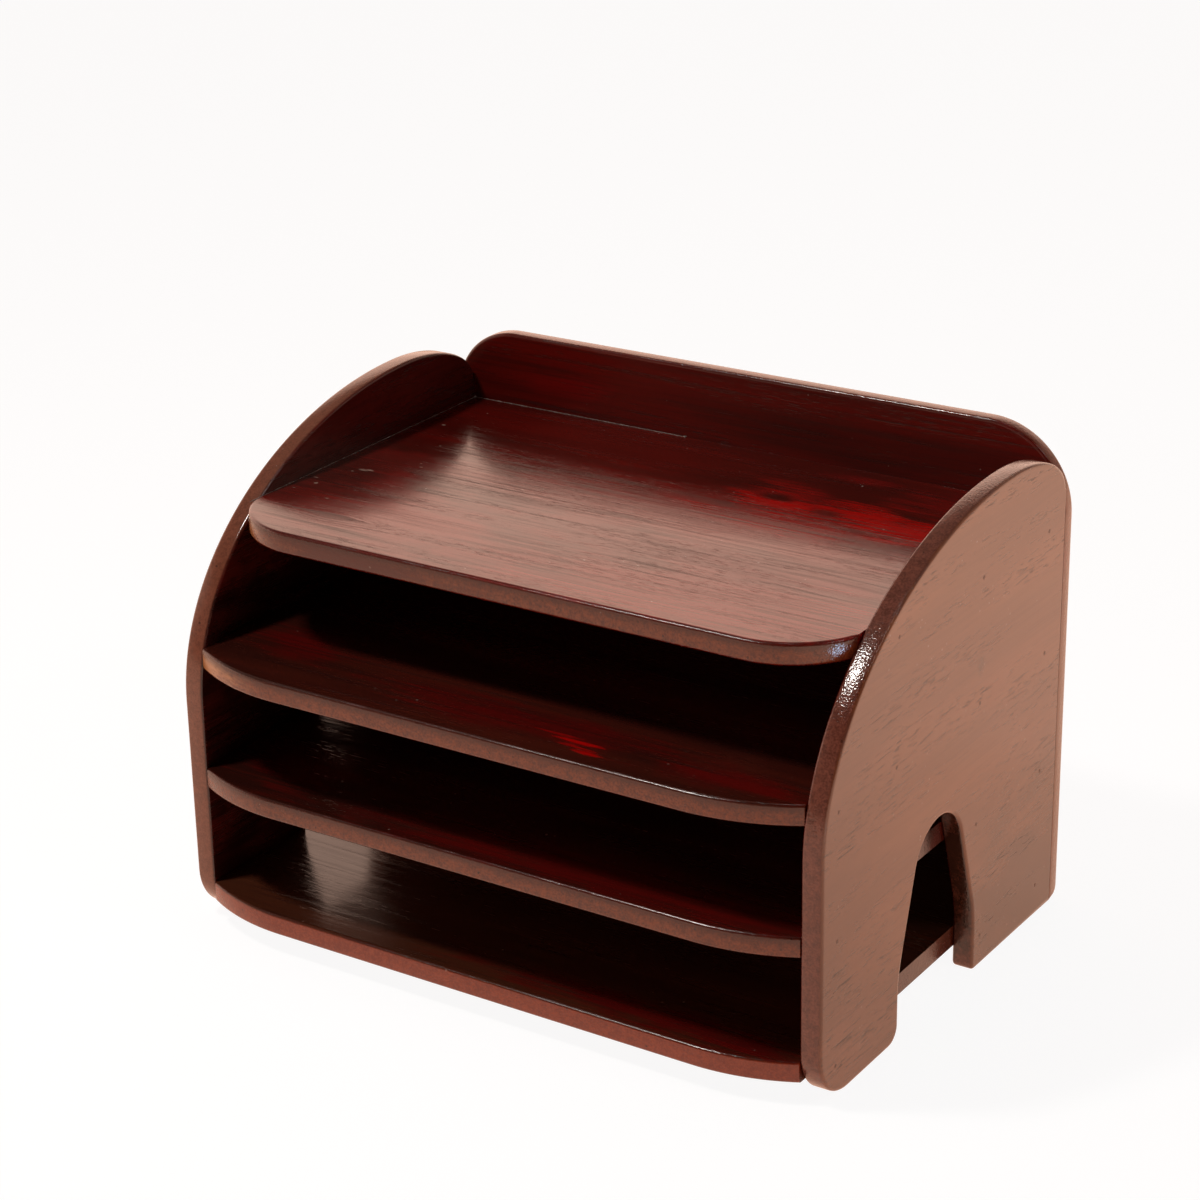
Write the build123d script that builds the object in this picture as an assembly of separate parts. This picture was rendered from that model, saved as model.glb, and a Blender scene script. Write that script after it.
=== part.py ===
from build123d import *
from math import acos, atan2, cos, hypot, sin, sqrt
import os

# A four-tier wooden paper rack: two shaped side panels, four shelves between them and a back panel behind them.
# The boards are glued and nailed. Each nail head is set below the surface and covered with wood filler.
# Lengths are in millimetres. +X is the rack's right, +Y its back and +Z up.
# The origin is on the ground, under the middle of the rack's whole width and depth.

# Boards
overall_width = 330.0
overall_height = 230.0
side_depth = 218.0
side_thickness = 10.0
back_thickness = 8.0
shelf_thickness = 10.0
arris_radius = 1.5

# Tiers, from the ground up: the shelves share the height between the foot clearance and the top tray's back
shelf_count = 4
foot_clearance = 10.0
side_rise = 33.0
back_rise = 36.0

# Shelf fronts: the lower ones bow out in front of the sides, the top one is set back between them
shelf_bow = 11.0
top_shelf_setback = 18.0
lower_corner_radius = 100.0
top_corner_radius = 42.0

# Side panel outline
front_edge_height = 110.0
rear_round_run = 53.0
rear_round_drop = 23.0
front_foot_radius = 24.0

# Arch between the legs of a side panel: upright sides, then sides that lean in to a round crown
arch_centre = 103.0
arch_width = 70.0
arch_height = 91.0
arch_leg_height = 30.0
arch_knee_radius = 60.0
arch_crown_radius = 22.0
front_leg_foot_radius = 8.0
rear_leg_foot_radius = 3.0

# Back panel: its two top corners, shaped by hand, and the round along its lower rear edge
back_left_corner_radius = 34.0
back_right_corner_radius = 40.0
back_foot_radius = 5.0

# Finishing nails and the filler over their heads
nail_length = 30.0
nail_shank_radius = 0.7
nail_head_radius = 1.1
nail_head_height = 1.0
nail_set_depth = 1.0
nail_hole_clearance = 0.05
cut_overrun = 2.0

# Where nails go: across the front and the rear leg for each shelf from the bottom up, and across the back panel
front_leg_nail_shares = [(0.19,), (0.19,), (0.19, 0.91), (0.91,)]
rear_leg_nail_shares = [(0.09, 0.8), (0.0, 0.8), (0.0, 0.8), (0.0, 0.8)]
back_nail_shares = [-0.3, 0.0, 0.3]

# Worked out from the sizes above
overall_depth = shelf_bow + side_depth + back_thickness
front_y = shelf_bow - overall_depth / 2
back_y = front_y + side_depth
outer_x = overall_width / 2
shelf_length = overall_width - 2 * side_thickness
top_surface = overall_height - back_rise
side_height = top_surface + side_rise
tier_pitch = (top_surface - shelf_thickness - foot_clearance) / (shelf_count - 1)
tray_gap = tier_pitch - shelf_thickness
shelf_floors = [foot_clearance + tier_pitch * tier for tier in range(shelf_count)]
curve_run = side_depth - rear_round_run
curve_rise = side_height - front_edge_height
front_leg = arch_centre - arch_width / 2
rear_leg_start = arch_centre + arch_width / 2
rear_leg = side_depth - rear_leg_start
shelf_names = ["shelf_bottom", "shelf_lower_middle", "shelf_upper_middle", "shelf_top"]


def round_corner(face, corner, radius):
    """A flat face with the corner nearest to a point rounded."""
    return fillet(face.vertices().sort_by_distance(corner)[0], radius)


def side_front_at(height):
    """How far the side's front edge has swept back from its upright stretch at a height."""
    risen = max(height - front_edge_height, 0)
    return curve_run - curve_run / curve_rise * sqrt(curve_rise**2 - risen**2)


def arch_face():
    """The opening between a side panel's legs, open below the ground line."""
    half = arch_width / 2
    crown_height = arch_height - arch_crown_radius
    below = arch_leg_height - crown_height
    lean = atan2(below, half) + acos(arch_crown_radius / hypot(below, half))
    across = arch_crown_radius * cos(lean)
    up = crown_height + arch_crown_radius * sin(lean)
    crown = ThreePointArc((across, up), (0, arch_height), (-across, up))
    left = Polyline((-across, up), (-half, arch_leg_height), (-half, -cut_overrun), (half, -cut_overrun))
    right = Polyline((half, -cut_overrun), (half, arch_leg_height), (across, up))
    face = make_face([crown, *left.edges(), *right.edges()])
    for side in (-1, 1):
        face = round_corner(face, (side * half, arch_leg_height), arch_knee_radius)
    return face


def side_face(rear_trim):
    """The side panel's outline, with its rear edge left over-long by a trim allowance."""
    rear = side_depth + rear_trim
    rear_round_foot = side_height - rear_round_drop
    rear_run = rear_round_run + rear_trim
    front_curve = EllipticalCenterArc((curve_run, front_edge_height), curve_run, curve_rise, start_angle=90)
    rear_curve = EllipticalCenterArc((curve_run, rear_round_foot), rear_run, rear_round_drop)
    front_edge = Line((0, front_edge_height), (0, 0))
    ground_edge = Line((0, 0), (rear, 0))
    rear_edge = Line((rear, 0), (rear, rear_round_foot))
    face = make_face([rear_curve, front_curve, front_edge, ground_edge, rear_edge])
    face = round_corner(face, (0, 0), front_foot_radius)
    face -= Pos(arch_centre, 0) * arch_face()
    face = round_corner(face, (front_leg, 0), front_leg_foot_radius)
    return round_corner(face, (rear_leg_start, 0), rear_leg_foot_radius)


def nail_plane(surface_point, outward):
    """A plane on a board's surface with its normal pointing out along a nail."""
    return Plane(origin=surface_point, z_dir=outward)


def side_nail_planes(side, tier):
    """Where the nails into one end of one shelf enter; side is -1 for left and 1 for right."""
    height = shelf_floors[tier] + shelf_thickness / 2
    depths = [share * front_leg for share in front_leg_nail_shares[tier]]
    depths += [rear_leg_start + share * rear_leg for share in rear_leg_nail_shares[tier]]
    return [nail_plane((side * outer_x, front_y + depth, height), (side, 0, 0)) for depth in depths]


def back_shelf_nail_planes(tier):
    """Where the nails through the back panel into one shelf enter."""
    height = shelf_floors[tier] + shelf_thickness / 2
    rear_y = back_y + back_thickness
    return [nail_plane((share * overall_width, rear_y, height), (0, 1, 0)) for share in back_nail_shares]


def back_side_nail_planes(side):
    """Where the nails through the back panel into one side's rear edge enter, midway between shelves."""
    rear_y = back_y + back_thickness
    across = side * (outer_x - side_thickness / 2)
    heights = [floor + shelf_thickness + tray_gap / 2 for floor in shelf_floors[:-1]]
    return [nail_plane((across, rear_y, height), (0, 1, 0)) for height in heights]


def column(radius, top, bottom):
    """An upright round bar between two heights."""
    return Pos(0, 0, bottom) * Cylinder(radius, top - bottom, align=(Align.CENTER, Align.CENTER, Align.MIN))


def nail(plane):
    """One finishing nail, its head set below the surface."""
    head_foot = -nail_set_depth - nail_head_height
    head = column(nail_head_radius, -nail_set_depth, head_foot)
    shank = column(nail_shank_radius, head_foot, -nail_set_depth - nail_length)
    return plane * (head + shank)


def nail_filler(plane):
    """The plug of wood filler over one nail head, flush with the surface."""
    return plane * column(nail_head_radius, 0, -nail_set_depth)


def nail_hole(plane):
    """What one nail and its filler take out of the boards."""
    seat = -nail_set_depth - nail_head_height
    point = -nail_set_depth - nail_length - nail_hole_clearance
    mouth = column(nail_head_radius + nail_hole_clearance, cut_overrun, seat)
    pilot = column(nail_shank_radius + nail_hole_clearance, seat, point)
    return plane * (mouth + pilot)


def with_nail_holes(board, planes):
    """A board with the nails' holes cut in it."""
    for plane in planes:
        board -= nail_hole(plane)
    return board


def side_panel(side):
    """One side panel, its edges eased and its rear edge planed flat for the back panel."""
    blank = extrude(Plane.YZ * side_face(arris_radius), side_thickness)
    faces = blank.faces().sort_by(Axis.X)
    blank = fillet(faces[0].edges() + faces[-1].edges(), arris_radius)
    inner_x = side * (outer_x - side_thickness / 2) - side_thickness / 2
    panel = Pos(inner_x, front_y, 0) * blank
    panel = split(panel, Plane.XZ.offset(-back_y), keep=Keep.TOP)
    tiers = range(shelf_count)
    planes = [plane for tier in tiers for plane in side_nail_planes(side, tier)]
    return with_nail_holes(panel, planes + back_side_nail_planes(side))


def shelf(tier):
    """One shelf: a straight front, with both ends swept back to the side panels' front edge.

    It is cut to length from a wider blank, whose front corners are whole quarter rounds.
    """
    top_tier = tier == shelf_count - 1
    setback = top_shelf_setback if top_tier else -shelf_bow
    radius = top_corner_radius if top_tier else lower_corner_radius
    sweep = min(side_front_at(shelf_floors[tier] + shelf_thickness / 2) - setback, radius)
    half = shelf_length / 2
    straight = half - sqrt(radius**2 - (radius - sweep) ** 2)
    blank_half = straight + radius
    corner_centre = setback + radius
    front = Line((-straight, setback), (straight, setback))
    right_corner = CenterArc((straight, corner_centre), radius, -90, 90)
    left_corner = CenterArc((-straight, corner_centre), radius, 180, 90)
    right_rear = (blank_half, side_depth)
    left_rear = (-blank_half, side_depth)
    rest = Polyline((blank_half, corner_centre), right_rear, left_rear, (-blank_half, corner_centre))
    blank = extrude(make_face([front, right_corner, *rest.edges(), left_corner]), shelf_thickness)
    rear_face = blank.faces().sort_by(Axis.Y)[-1]
    flat_faces = blank.faces().sort_by(Axis.Z)
    outline = flat_faces[0].edges() + flat_faces[-1].edges()
    blank = fillet([edge for edge in outline if edge not in rear_face.edges()], arris_radius)
    for end in (-1, 1):
        blank = split(blank, Plane((end * half, 0, 0), z_dir=(end, 0, 0)), keep=Keep.BOTTOM)
    board = Pos(0, front_y, shelf_floors[tier]) * blank
    side_planes = side_nail_planes(-1, tier) + side_nail_planes(1, tier)
    return with_nail_holes(board, side_planes + back_shelf_nail_planes(tier))


def back_panel():
    """The back panel, its ends flush with the sides' outer faces and its top corners rounded."""
    face = Pos(0, overall_height / 2) * Rectangle(overall_width, overall_height)
    for side, radius in ((-1, back_left_corner_radius), (1, back_right_corner_radius)):
        face = round_corner(face, (side * outer_x, overall_height), radius)
    board = extrude(Plane.XZ.offset(-back_y) * face, -back_thickness)
    foot_edge = board.faces().sort_by(Axis.Y)[-1].edges().sort_by(Axis.Z)[0]
    board = fillet(foot_edge, back_foot_radius)
    arcs = board.edges().filter_by(GeomType.CIRCLE)
    foot_ends = [arc for arc in arcs if arc.center().Z < back_foot_radius]
    rear_outline = board.faces().sort_by(Axis.Y)[-1].edges().sort_by(Axis.Z)[1:]
    board = fillet(rear_outline + foot_ends, arris_radius)
    return with_nail_holes(board, back_planes)


back_planes = [plane for tier in range(shelf_count) for plane in back_shelf_nail_planes(tier)]
back_planes += back_side_nail_planes(-1) + back_side_nail_planes(1)
nodes = {"back_panel": back_panel()}
nodes["back_nails"] = Compound([nail(plane) for plane in back_planes])
nodes["back_nail_fillers"] = Compound([nail_filler(plane) for plane in back_planes])
for name, side in (("left", -1), ("right", 1)):
    side_planes = [plane for tier in range(shelf_count) for plane in side_nail_planes(side, tier)]
    nodes[f"side_panel_{name}"] = side_panel(side)
    nodes[f"side_nails_{name}"] = Compound([nail(plane) for plane in side_planes])
    nodes[f"side_nail_fillers_{name}"] = Compound([nail_filler(plane) for plane in side_planes])
for tier, name in enumerate(shelf_names):
    nodes[name] = shelf(tier)

os.makedirs("parts", exist_ok=True)
for name, node in nodes.items():
    export_step(node, f"parts/{name}.step")
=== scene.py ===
# %% [markdown]
# A lacquered wooden paper rack
#
# The rack is a stack of open trays for letters and sheets: two shaped sides, four shelves and a back,
# stained a deep mahogany red and sprayed with a half-gloss lacquer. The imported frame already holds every
# board at its real place and size in metres, with +X to the rack's right, +Y to its back and +Z up.
# So this lesson never moves anything. It models each board again with softer edges, in the same place, and
# spends most of its lines on the finish, because the finish is what makes this object.

# %% Load the frame
import math
import bmesh
import bpy
from mathutils import Matrix, Quaternion, Vector
from mathutils.noise import noise as noise_at


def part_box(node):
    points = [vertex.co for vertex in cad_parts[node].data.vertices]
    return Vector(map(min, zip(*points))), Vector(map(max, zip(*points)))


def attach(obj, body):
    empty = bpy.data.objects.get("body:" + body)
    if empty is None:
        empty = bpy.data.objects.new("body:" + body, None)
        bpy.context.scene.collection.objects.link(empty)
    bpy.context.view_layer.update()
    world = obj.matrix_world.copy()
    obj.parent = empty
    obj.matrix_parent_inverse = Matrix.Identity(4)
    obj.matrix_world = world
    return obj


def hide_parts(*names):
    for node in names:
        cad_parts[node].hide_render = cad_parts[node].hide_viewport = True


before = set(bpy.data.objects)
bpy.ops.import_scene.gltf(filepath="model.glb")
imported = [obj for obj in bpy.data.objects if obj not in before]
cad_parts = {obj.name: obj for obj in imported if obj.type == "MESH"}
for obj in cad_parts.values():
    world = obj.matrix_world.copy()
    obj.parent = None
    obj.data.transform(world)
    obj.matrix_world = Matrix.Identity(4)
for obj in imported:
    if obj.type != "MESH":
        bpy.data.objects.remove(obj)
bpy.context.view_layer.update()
scene = bpy.context.scene
scene.view_settings.view_transform = "Standard"
print("nodes in the frame:", sorted(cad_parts))

# %% [markdown]
# The camera stands to the front right, a little above the rack, with a long lens, so that upright edges
# stay nearly parallel. The picture is tilted by about a degree, as hand-held pictures are. The camera is
# turned to look along its line of sight first, and then rolled about that line.

# %% Camera
camera_azimuth = math.radians(33.51)
camera_elevation = math.radians(21.95)
camera_roll = math.radians(-1.07)
camera_distance = 1.3484
camera_target = Vector((-0.00704, -0.00414, 0.15538))
camera_data = bpy.data.cameras.new("camera")
camera_data.lens = 90.47
camera_data.sensor_width = 36.0
camera = bpy.data.objects.new("camera", camera_data)
level_reach = math.cos(camera_elevation)
to_camera = Vector((
    math.sin(camera_azimuth) * level_reach,
    -math.cos(camera_azimuth) * level_reach,
    math.sin(camera_elevation),
))
camera.location = camera_target + to_camera * camera_distance
camera.rotation_mode = "QUATERNION"
level_turn = (-to_camera).to_track_quat("-Z", "Y")
camera.rotation_quaternion = level_turn @ Quaternion((0, 0, 1), camera_roll)
scene.collection.objects.link(camera)
scene.camera = camera
print("camera at", [round(value, 4) for value in camera.location])

# %% [markdown]
# A few helpers keep the node trees readable. Each adds one node, gives its sockets either a plain value or
# a link from another node, and hands back the socket that the next node needs.

# %% Node helpers
def put(tree, kind, inputs=None, **settings):
    """Adds a node, sets its settings, and fills its inputs with plain values or links."""
    made = tree.nodes.new(kind)
    for name, value in settings.items():
        setattr(made, name, value)
    for name, value in (inputs or {}).items():
        if isinstance(value, bpy.types.NodeSocket):
            tree.links.new(value, made.inputs[name])
        else:
            made.inputs[name].default_value = value
    return made


def arithmetic(tree, operation, first, second):
    """One step of arithmetic on two numbers."""
    return put(tree, "ShaderNodeMath", {0: first, 1: second}, operation=operation).outputs[0]


def plus(tree, first, second):
    """Two numbers added together."""
    return arithmetic(tree, "ADD", first, second)


def times(tree, first, second):
    """Two numbers multiplied: a mask made weaker, or kept only where another mask is."""
    return arithmetic(tree, "MULTIPLY", first, second)


def vectors(tree, operation, first, second):
    """One step of arithmetic on two vectors, part by part."""
    return put(tree, "ShaderNodeVectorMath", {0: first, 1: second}, operation=operation).outputs[0]


def reach_along(tree, vector, way):
    """How far a vector reaches along a direction."""
    return put(tree, "ShaderNodeVectorMath", {0: vector, 1: way}, operation="DOT_PRODUCT").outputs["Value"]


def remap(tree, value, low, high, new_low=0.0, new_high=1.0):
    """A smooth step from one range of numbers to another, held at both ends."""
    sockets = {"Value": value, "From Min": low, "From Max": high, "To Min": new_low, "To Max": new_high}
    return put(tree, "ShaderNodeMapRange", sockets, interpolation_type="SMOOTHSTEP").outputs[0]


def mix_colour(tree, share, first, second):
    """A blend of two colours, by a share from 0 to 1."""
    return put(tree, "ShaderNodeMix", {0: share, 6: first, 7: second}, data_type="RGBA").outputs[2]


def noise(tree, vector, along, detail=2.0, roughness=0.5):
    """Noise with its own number of features a metre in each direction."""
    stretched = vectors(tree, "MULTIPLY", vector, along)
    sockets = {"Vector": stretched, "Scale": 1.0, "Detail": detail, "Roughness": roughness}
    return put(tree, "ShaderNodeTexNoise", sockets).outputs[0]


def even(features):
    """The same number of features a metre in all three directions."""
    return (features, features, features)


print("node helpers ready")

# %% [markdown]
# The studio is a lit table of milk-white sheet in a pale sweep, as used for pictures of small goods. Light
# comes from the table and from low down on the left and behind, while the room is dim overhead, on the
# right and on the camera's side. That is why the rack's fronts and sides are bright and its trays are dark.
# A glossy finish shows all of its surroundings, so they are drawn in the world, and camera rays see plain
# white instead.

# %% World
studio_warmth = (1.0, 0.65, 0.505, 1.0)
white = (1.0, 1.0, 1.0, 1.0)
sweep_level = 2.02
ceiling_share = 0.1
front_share = 0.14
right_share = 0.3
sweep_end, ceiling_start = 0.42, 0.62
right_start, right_end = 0.0, 0.35
front_start, front_end = -0.3, 0.35
world = bpy.data.worlds.new("studio")
world.use_nodes = True
scene.world = world
tree = world.node_tree
tree.nodes.clear()
direction = put(tree, "ShaderNodeTexCoord").outputs["Generated"]
parts = put(tree, "ShaderNodeSeparateXYZ", {0: direction})
ceiling_level = sweep_level * ceiling_share
sweep = remap(tree, parts.outputs[2], sweep_end, ceiling_start, sweep_level, ceiling_level)
right_dimmed = remap(tree, parts.outputs[0], right_start, right_end, 1.0, right_share)
camera_side = (math.sin(camera_azimuth), -math.cos(camera_azimuth), 0.0)
towards = reach_along(tree, direction, camera_side)
front_dimmed = remap(tree, towards, front_start, front_end, 1.0, front_share)
surround = times(tree, times(tree, sweep, front_dimmed), right_dimmed)
lighting = put(tree, "ShaderNodeBackground", {"Color": studio_warmth, "Strength": surround}).outputs[0]
backdrop = put(tree, "ShaderNodeBackground", {"Color": white, "Strength": 1.0}).outputs[0]
seen = put(tree, "ShaderNodeLightPath").outputs["Is Camera Ray"]
both = put(tree, "ShaderNodeMixShader", {0: seen, 1: lighting, 2: backdrop}).outputs[0]
put(tree, "ShaderNodeOutputWorld", {"Surface": both})
print("world nodes:", len(tree.nodes))

# %% [markdown]
# The table top glows softly, most behind the rack on its right, and also takes the light that falls on it.
# To the camera its own light is a little over white, and a share of the fallen light takes its place, so
# that it stays close to white where no shadow of the rack lies.

# %% Floor
floor_reach = 12.0
floor_drop = 0.0002
table_warmth = (1.0, 0.61, 0.44, 1.0)
table_white = (0.95, 0.95, 0.95, 1.0)
glow_front, glow_rear = 1.75, 2.85
glow_way = (0.9, 0.45, 0.0)
glow_run = 0.6
lit_share = 0.4
camera_lit_share = 0.16
camera_glow = 1.09
bm = bmesh.new()
bmesh.ops.create_grid(bm, x_segments=1, y_segments=1, size=floor_reach)
bmesh.ops.translate(bm, vec=(0, 0, -floor_drop), verts=bm.verts)
floor_mesh = bpy.data.meshes.new("floor")
bm.to_mesh(floor_mesh)
bm.free()
floor = bpy.data.objects.new("floor", floor_mesh)
scene.collection.objects.link(floor)
table_sheet = bpy.data.materials.new("milk_white_sheet")
table_sheet.use_nodes = True
tree = table_sheet.node_tree
tree.nodes.clear()
place = put(tree, "ShaderNodeTexCoord").outputs["Object"]
rearward = reach_along(tree, place, glow_way)
table_level = remap(tree, rearward, 0.0, glow_run, glow_front, glow_rear)
seen = put(tree, "ShaderNodeLightPath").outputs["Is Camera Ray"]
tint = mix_colour(tree, seen, table_warmth, white)
strength = put(tree, "ShaderNodeMix", {0: seen, 2: table_level, 3: camera_glow}).outputs[0]
glow = put(tree, "ShaderNodeEmission", {"Color": tint, "Strength": strength}).outputs[0]
lit = put(tree, "ShaderNodeBsdfDiffuse", {"Color": table_white}).outputs[0]
share = put(tree, "ShaderNodeMix", {0: seen, 2: lit_share, 3: camera_lit_share}).outputs[0]
both = put(tree, "ShaderNodeMixShader", {0: share, 1: glow, 2: lit}).outputs[0]
put(tree, "ShaderNodeOutputMaterial", {"Surface": both})
floor_mesh.materials.append(table_sheet)
print("floor from", -floor_reach, "to", floor_reach)

# %% [markdown]
# One small soft box stands high in front on the left. Seen from the rack's right half it lies just where
# the rounded front edges mirror it to the camera, so it draws the white glints there and leaves the left
# half without. A second hangs overhead. A weak strip with a grid hangs high on the right, where the outer
# arris of the right side mirrors it, but that line is so fine that it hardly shows in the picture. A narrow
# cool beam from low on the right lights the corner of the top shelf, like a window far away.

# %% Lamps
def soft_box(name, mirror, way, distance, width, watts, colour, spread=180, height=None):
    """A flat lamp that looks at one point of the rack from a direction, with a beam of some degrees."""
    data = bpy.data.lights.new(name, "AREA")
    data.shape = "RECTANGLE"
    data.size = width
    data.size_y = height or width
    data.energy = watts
    data.color = colour
    data.spread = math.radians(spread)
    lamp = bpy.data.objects.new(name, data)
    lamp.location = Vector(mirror) + Vector(way).normalized() * distance
    lamp.rotation_mode = "QUATERNION"
    lamp.rotation_quaternion = Vector(way).to_track_quat("Z", "Y")
    lamp.visible_camera = False
    scene.collection.objects.link(lamp)


soft_box("key_lamp", mirror=(0.237, -0.08, 0.185), way=(-0.51, -0.28, 0.8), distance=1.3,
         width=0.145, watts=6.8, colour=(1.0, 0.95, 0.9))
soft_box("ceiling_lamp", mirror=(0.05, 0.0, 0.2), way=(0.0, 0.0, 1.0), distance=1.2,
         width=0.12, watts=0.25, colour=(1.0, 0.95, 0.92))
soft_box("strip_lamp", mirror=(0.165, -0.045, 0.2), way=(0.635, 0.03, 0.773), distance=1.28,
         width=0.45, height=0.1, watts=0.17, colour=(1.0, 0.93, 0.9), spread=50)
soft_box("window_lamp", mirror=(0.151, -0.072, 0.189), way=(0.925, -0.1, -0.37), distance=0.45,
         width=0.3, watts=0.045, colour=(0.45, 0.68, 1.0), spread=12)
print("lamps:", [lamp.name for lamp in bpy.data.lights])

# %% [markdown]
# Each board starts as a flat outline that is pushed through its thickness. Its sharp edges, which joiners
# call arrises, are then rounded with a bevel, and a narrow inset keeps the flat faces flat when they are
# shaded smooth. A bevel that ends on the way along an edge can come out far too thin, so on the sides and
# the back it runs all round, and where these two are glued together it is drawn back to a hairline
# afterwards. The shelves have it along their fronts only. Two vertex attributes remember where the board's
# narrow edge and its arrises are, for the finish to use later.

# %% Board helpers
arris_radius = 0.0015
arris_steps = 4
shading_margin = 0.0006
joint_share = 0.8
joint_reach = arris_radius * 1.01
sharp_angle = math.radians(40)
weld_distance = 1e-7
hair = 1e-6
axis_numbers = {"x": 0, "y": 1, "z": 2}


def arc(bm, start, centre, axis, turn, steps):
    """The vertices of an arc: one vertex spun about a centre."""
    count = len(bm.verts)
    first = bm.verts.new(start)
    bmesh.ops.spin(bm, geom=[first], cent=centre, axis=axis, angle=turn, steps=steps)
    bm.verts.ensure_lookup_table()
    return bm.verts[count:]


def corners(bm, *points):
    """Single vertices where an outline turns a sharp corner."""
    return [bm.verts.new(point) for point in points]


def push_through(bm, face, step):
    """A closed board from one flat face, pushed through by a vector."""
    made = bmesh.ops.extrude_face_region(bm, geom=[face])
    moved = [item for item in made["geom"] if isinstance(item, bmesh.types.BMVert)]
    bmesh.ops.translate(bm, vec=step, verts=moved)
    bmesh.ops.remove_doubles(bm, verts=bm.verts, dist=weld_distance)
    bmesh.ops.recalc_face_normals(bm, faces=bm.faces)


def round_over(bm, items, radius, steps, affect="EDGES"):
    """A round bevel on some edges or vertices, at its full radius."""
    bmesh.ops.bevel(bm, geom=items, offset=radius, offset_type="OFFSET", affect=affect, segments=steps,
                    profile=0.5, material=-1, clamp_overlap=False)


def flat_faces(bm, axis):
    """The two large faces of a board, which look along an axis."""
    number = axis_numbers[axis]
    return sorted(bm.faces, key=lambda face: -abs(face.normal[number]) * face.calc_area())[:2]


def ease_arrises(bm, axis, wanted, more=()):
    """Rounds the edges round a board's two large faces where a test wants it, and a few more edges."""
    rims = {edge for face in flat_faces(bm, axis) for edge in face.edges}
    chosen = [edge for edge in rims if wanted((edge.verts[0].co + edge.verts[1].co) / 2)]
    round_over(bm, chosen + list(more), arris_radius, arris_steps)


def close_joint(bm, x, y, top):
    """Draws an upright rounded edge back to a hairline where two boards are glued together."""
    for vertex in bm.verts:
        gap_x, gap_y = x - vertex.co.x, y - vertex.co.y
        if vertex.co.z < top + hair and max(abs(gap_x), abs(gap_y)) < joint_reach:
            vertex.co.x += gap_x * joint_share
            vertex.co.y += gap_y * joint_share


def new_piece(bm, name):
    """A smooth-shaded object from a finished bmesh."""
    for face in bm.faces:
        face.smooth = True
    mesh = bpy.data.meshes.new(name)
    bm.to_mesh(mesh)
    bm.free()
    piece = bpy.data.objects.new(name, mesh)
    scene.collection.objects.link(piece)
    print(name, "faces:", len(mesh.polygons))
    return piece


def board(bm, name, node, axis):
    """Turns a finished bmesh into a piece that stands for a node of the frame."""
    number = axis_numbers[axis]
    bmesh.ops.inset_individual(bm, faces=flat_faces(bm, axis), thickness=shading_margin)
    bm.normal_update()
    rim = bm.verts.layers.float.new("rim")
    arris = bm.verts.layers.float.new("arris")
    for vertex in bm.verts:
        facing = min(abs(vertex.normal[number]), 1.0)
        vertex[rim] = 1.0 - facing
        vertex[arris] = 2.0 * facing * math.sqrt(1.0 - facing**2)
    for edge in bm.edges:
        edge.smooth = edge.calc_face_angle(0.0) < sharp_angle
    piece = new_piece(bm, name)
    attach(piece, "root")
    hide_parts(node)
    return piece


print("board helpers ready")

# %% [markdown]
# A side is one board with a straight front, a long quarter of an ellipse that sweeps back to the highest
# point, a short round down to the back, and an arch between its two feet. Every round stretch is a spun
# vertex, and a circle is scaled into an ellipse about its centre. Drawing the outline as a curve would work
# too, but then the edges' bevels would have to come from a modifier.

# %% Side boards
front_edge_height = 0.110
rear_round_run = 0.053
rear_round_drop = 0.023
front_foot_radius = 0.024
arch_centre = 0.103
arch_width = 0.070
arch_height = 0.091
arch_leg_height = 0.030
arch_knee_radius = 0.060
arch_crown_radius = 0.022
leg_foot_radius = 0.008
rear_leg_foot_radius = 0.003
long_steps = 56
short_steps = 14


def ellipse_quarter(bm, x, centre_y, centre_z, run, rise, start):
    """A quarter of an ellipse in an upright plane, from spinning a circle and widening it."""
    centre = Vector((x, centre_y, centre_z))
    first = centre + Vector((0, rise * math.cos(start), rise * math.sin(start)))
    points = arc(bm, first, centre, (1, 0, 0), -math.pi / 2, long_steps)
    bmesh.ops.scale(bm, vec=(1, run / rise, 1), space=Matrix.Translation(-centre), verts=points)
    return points


def rounded(bm, x, corner, before, after, radius):
    """The arc that rounds an outline's corner between two neighbouring points."""
    corner, before, after = (Vector((x, *point)) for point in (corner, before, after))
    back, on = (before - corner).normalized(), (after - corner).normalized()
    half_angle = back.angle(on) / 2
    start = corner + back * radius / math.tan(half_angle)
    centre = corner + (back + on).normalized() * radius / math.sin(half_angle)
    turn = math.pi - 2 * half_angle
    axis = (start - centre).cross(corner + on * radius / math.tan(half_angle) - centre)
    return arc(bm, start, centre, axis, turn, short_steps)


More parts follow.
